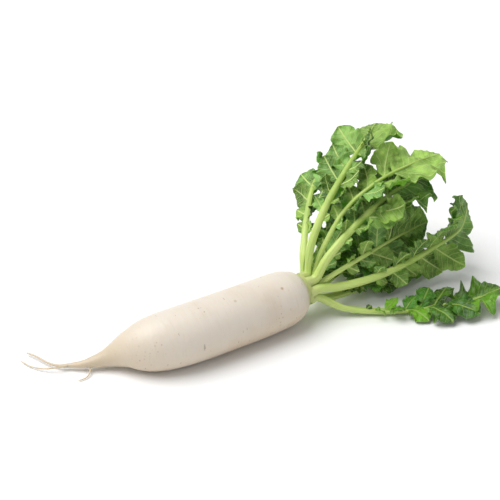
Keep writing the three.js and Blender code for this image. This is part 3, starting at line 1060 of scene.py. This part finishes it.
def add_lobe(patch, leaf, rib, index, side):
    lobe = lobe_shape(leaf, index, side)
    point, forward, normal, across = (value[0] for value in rib.at(lobe["at"]))
    fold, angle, curl = lobe["fold"], lobe["angle"], lobe["curl"]
    out = across * side * math.cos(fold) + normal * math.sin(fold)
    vein = forward * math.cos(angle) + out * math.sin(angle)
    face = normal * math.cos(fold) - across * side * math.sin(fold)
    right = turned_about(vein, np.cross(vein, face), lobe["tilt"])
    face = turned_about(vein, face, lobe["tilt"])

    rows = int(np.clip(lobe["length"], *LOBE_ROWS))
    v = np.linspace(0, 1, rows + 1)[:, None]
    h = spread_columns(2 * int(np.clip(lobe["half"], *LOBE_COLUMNS)))
    shift = np.where(h < 0, 0.0, TEETH_SHIFT) + 0 * v
    half = lobe["half"] * lobe_edge(v + 0 * h, lobe["teeth"], shift)
    bend = curl * v
    reach = lobe["length"] * np.sin(bend) / curl
    drop = lobe["length"] * (1 - np.cos(bend)) / curl
    turn = (lobe["twist"] * v)[..., None]
    bent = face * np.cos(bend)[..., None] + vein * np.sin(bend)[..., None]
    up = bent * np.cos(turn) - right * np.sin(turn)
    wide = right * np.cos(turn) + bent * np.sin(turn)
    cup = -LOBE_CUP * lobe["half"] * h**2 * v
    flat = np.stack([v * lobe["length"] + 0 * h, half * h], -1)
    seed = leaf["seed"] + index * 3 + side
    lift = cup + blade_relief(v, h, flat[..., 0], flat[..., 1], lobe["half"], seed)
    grid = (
        point
        + vein * reach[..., None]
        - face * drop[..., None]
        + wide * (half * h)[..., None]
        + up * lift[..., None]
    )
    grid[..., 2] = np.maximum(grid[..., 2], FLOOR_CLEARANCE)
    patch.sheet(grid, up + 0 * grid, BLADE_THICKNESS, flat / MAP_UNIT, lobe["tone"], 0, 1)


print("lobe spreads:", LOBE_HALF_WIDTH, LOBE_SLANT, LOBE_TWIST)

# %% [markdown]
# The end lobe is the largest. It rides on the rib itself, so its rows simply follow the rib's own
# points and directions, and only its edge and relief are worked out.

# %% End lobe
END_TEETH = 4
END_TEETH_SHIFT = 0.12
END_FOLD = 0.1
END_ROWS = 64
END_COLUMNS = 36


def add_end_lobe(patch, leaf, rib):
    v = np.linspace(0, 1, END_ROWS + 1)[:, None]
    h = spread_columns(END_COLUMNS)
    point, _, normal, across = rib.at(lerp(leaf["end"], 1, v[:, 0]))
    fold = math.radians(leaf["fold"] * END_FOLD)
    shift = np.where(h < 0, 0.0, END_TEETH_SHIFT) + 0 * v
    half = leaf["tip"] * end_edge(v + 0 * h, END_TEETH, shift)
    width = half * h
    length = rib.length * (1 - leaf["end"])
    flat = np.stack([v * length + 0 * h, width], -1)
    relief = blade_relief(v, h, flat[..., 0], flat[..., 1], leaf["tip"], leaf["seed"] + 50)
    lift = np.abs(width) * math.sin(fold) + relief
    grid = set_off(point, across, width * math.cos(fold), normal, lift)
    grid[..., 2] = np.maximum(grid[..., 2], FLOOR_CLEARANCE)
    tone = draw(leaf["seed"], 0, 0, 8)
    normals = normal[:, None] + 0 * grid
    patch.sheet(grid, normals, BLADE_THICKNESS, flat / MAP_UNIT, tone, 0, 1)


print("end lobe grid:", END_ROWS, "x", END_COLUMNS)

# %% [markdown]
# The stalk is thick and rounded below and grooved above. Its section is the solid's, drawn with
# more points, with faint ribs on its round side, and it runs on as the midrib of the end lobe. At
# its foot it widens and sinks a little into the crown, which it grew from.

# %% Stalks
PETIOLE_WIDTH = 10
PETIOLE_DEPTH = 5.6
STALK_SIDES = 28
STALK_ROWS = 90
FOOT_FLARE = 0.2
FOOT_SINK = 1.3
RIBS_ROUND = 9
RIB_HEIGHT = 0.025
STALK_END = 0.985
STALK_TAPER = 0.84
GROOVE = 0.42


def add_stalk(patch, leaf, rib):
    t = np.linspace(0, STALK_END, STALK_ROWS + 1)
    turn = np.linspace(0, math.tau, STALK_SIDES, endpoint=False)
    sideways, deep = np.sin(turn)[None, :], np.cos(turn)[None, :]
    point, _, normal, across = rib.at(t)
    point = point - CROWN_AXIS * (FOOT_SINK * np.exp(-t * rib.length / 2))[:, None]
    taper = (1 - STALK_TAPER * t**1.5)[:, None] * np.minimum((1 - t)[:, None] * 12, 1) ** 0.5
    flare = 1 + FOOT_FLARE * np.exp(-t * rib.length / 5)[:, None]
    ribs = 1 + RIB_HEIGHT * np.cos(RIBS_ROUND * turn)[None, :]
    width = leaf["stalk"] * PETIOLE_WIDTH * taper * flare / 2
    depth = leaf["stalk"] * PETIOLE_DEPTH * taper
    hollow = 0.5 * np.abs(deep) - GROOVE * deep**4
    lift = np.where(deep > 0, -depth * deep * ribs, depth * hollow)
    grid = set_off(point, across, width * sideways, normal, lift)
    along, around = t[:, None] * rib.length / MAP_UNIT, turn[None, :] / math.tau
    flat = np.stack(np.broadcast_arrays(along, around), -1)
    patch.tube(grid, flat, draw(leaf["seed"], 0, 0, 9), 2)


print("stalk grid:", STALK_ROWS, "x", STALK_SIDES)

# %% [markdown]
# Radish leaves feel rough, because short stiff hairs stand on the stalk and on both faces of the
# blade. They are thin pyramids, some hundreds on each leaf, so each has four faces only.

# %% Leaf hairs
HAIRS = dict(Density=36000.0, Length=0.0013, Radius=0.00007)
HAIRS_ABOVE = 0.004


def make_hair_finish():
    material, tree, shader = new_finish("leaf_hair", 0.5, subsurface=0.2)
    place = object_place(tree)
    colour = blend(tree, speckle(tree, place, 200.0), STALK_PALE, UNDER_VEIN)
    tree.links.new(colour, shader.inputs["Base Color"])
    return material


def make_hairs():
    growth = Growth("leaf_hairs", ("Density", "Length", "Radius"), seed=7)
    spots = growth.scatter(growth.maths("GREATER_THAN", growth.axes()["Z"], HAIRS_ABOVE))
    hair = growth.add(
        "GeometryNodeMeshCone",
        {"Vertices": 3, "Radius Bottom": growth.sizes["Radius"], "Depth": growth.sizes["Length"]},
    )
    rotation = growth.leaning(spots, (-0.5, -0.5, 0), (0.5, 0.5, 3))
    scale, finish = growth.random(0.5, 1.0, 3), make_hair_finish()
    growth.finish(spots["Points"], hair.outputs["Mesh"], rotation, scale, finish)
    return growth


hairs = make_hairs()
print("hair tree nodes:", len(hairs.tree.nodes))

# %% [markdown]
# The rosette has seven outer leaves, five inner ones and two small ones at its heart. The same
# sizes as in the solids place them: where the leaf stands round the crown, where its rib goes, and
# which way its upper face looks. Each leaf becomes one piece that replaces its plain solid.

# %% The leaves
OUTER = dict(ring=12.5, stalk=1, pairs=5, start=0.3, end=0.73, lobe=50, tip=32, fold=14, curl=30)
INNER = dict(ring=6.2, stalk=0.62, pairs=4, start=0.28, end=0.7, lobe=46, tip=30, fold=16, curl=30)
HEART = dict(ring=1.9, stalk=0.36, pairs=3, start=0.24, end=0.64, lobe=26, tip=18, fold=24, curl=30)
LEAVES = {
    "leaf_front_low": dict(
        OUTER, seed=1, clock=129, lobe=40, tip=25, fold=38, curl=16, facing=(0, 0.1, 1),
        path=[
            (143, -17, 13), (171, -33, 7), (198, -48, 6),
            (235, -63, 7), (269, -77, 11), (300, -84, 18),
        ],
    ),
    "leaf_front": dict(
        OUTER, seed=16, clock=78, facing=(0.3, 0.9, 0.1),
        path=[
            (146, -9, 32), (180, -18, 36), (215, -22, 42),
            (252, -21, 49), (293, -16, 58), (322, 8, 68),
        ],
    ),
    "leaf_front_top": dict(
        OUTER, seed=17, clock=28, facing=(0.2, 0.3, -0.9),
        path=[(134, 0, 65), (161, 0, 88), (198, 6, 105), (236, 13, 113), (272, 20, 111)],
    ),
    "leaf_top": dict(
        OUTER, seed=4, clock=-23, facing=(0.6, 0.2, -0.75),
        path=[(127, 18, 76), (152, 30, 108), (188, 48, 130), (228, 72, 142), (262, 100, 142)],
    ),
    "leaf_back_top": dict(
        OUTER, seed=159, clock=-74, pairs=4, facing=(0.85, -0.1, -0.3),
        path=[(126, 30, 58), (146, 56, 81), (176, 88, 98), (214, 117, 105)],
    ),
    "leaf_back_low": dict(
        OUTER, seed=104, clock=-126, fold=17, facing=(-0.2, -0.3, 0.9),
        path=[(132, 28, 24), (170, 52, 16), (210, 78, 13.5), (244, 104, 13), (272, 132, 15)],
    ),
    "leaf_under": dict(
        OUTER, seed=147, clock=180, fold=20, curl=6, facing=(-0.1, 0, 1),
        path=[(140, 6, 13), (174, 8, 9), (210, 13, 9), (246, 22, 11), (278, 34, 15)],
    ),
    "leaf_inner_front": dict(
        INNER, seed=50, clock=65, lobe=42, facing=(0.1, 1, 0),
        path=[(146, -3, 47), (182, -4, 57), (220, -3, 65), (262, -1, 70)],
    ),
    "leaf_inner_top": dict(
        INNER, seed=149, clock=-7, facing=(0.5, 0.1, -0.8),
        path=[(138, 12, 72), (167, 15, 107), (206, 13, 130), (250, 14, 137), (290, 22, 133)],
    ),
    "leaf_inner_back": dict(
        INNER, seed=24, clock=-79, lobe=44, facing=(-0.2, -0.8, 0.2),
        path=[(138, 28, 50), (166, 50, 62), (198, 78, 69), (234, 103, 73)],
    ),
    "leaf_inner_mid": dict(
        INNER, seed=11, clock=137, facing=(0, -0.6, 0.6),
        path=[(144, 6, 34), (180, 12, 40), (218, 20, 46), (256, 30, 56)],
    ),
    "leaf_inner_low": dict(
        INNER, seed=12, clock=-151, facing=(-0.1, -0.3, 0.9),
        path=[(138, 20, 30), (170, 35, 28), (206, 52, 31), (246, 72, 38)],
    ),
    "leaf_heart_top": dict(
        HEART, seed=13, clock=20, facing=(0.5, 0.2, -0.8),
        path=[(132, 12, 46), (150, 18, 60), (170, 26, 74)],
    ),
    "leaf_heart_low": dict(
        HEART, seed=14, clock=200, facing=(-0.3, 0.1, 0.9),
        path=[(134, 11, 38), (156, 17, 44.5), (178, 22, 56)],
    ),
}


def make_leaf(name, leaf):
    rib = Rib(leaf)
    patch = Patchwork()
    add_stalk(patch, leaf, rib)
    add_end_lobe(patch, leaf, rib)
    for index in range(leaf["pairs"]):
        for side in (-1, 1):
            add_lobe(patch, leaf, rib, index, side)
    piece = patch.to_object(name + "_blade", [LEAF_UPPER, LEAF_UNDER, STALK])
    grow(piece, hairs, **HAIRS)
    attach(piece, "root")
    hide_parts(name)
    return piece


leaf_pieces = [make_leaf(name, leaf) for name, leaf in LEAVES.items()]
print("leaf faces:", sum(len(piece.data.polygons) for piece in leaf_pieces))
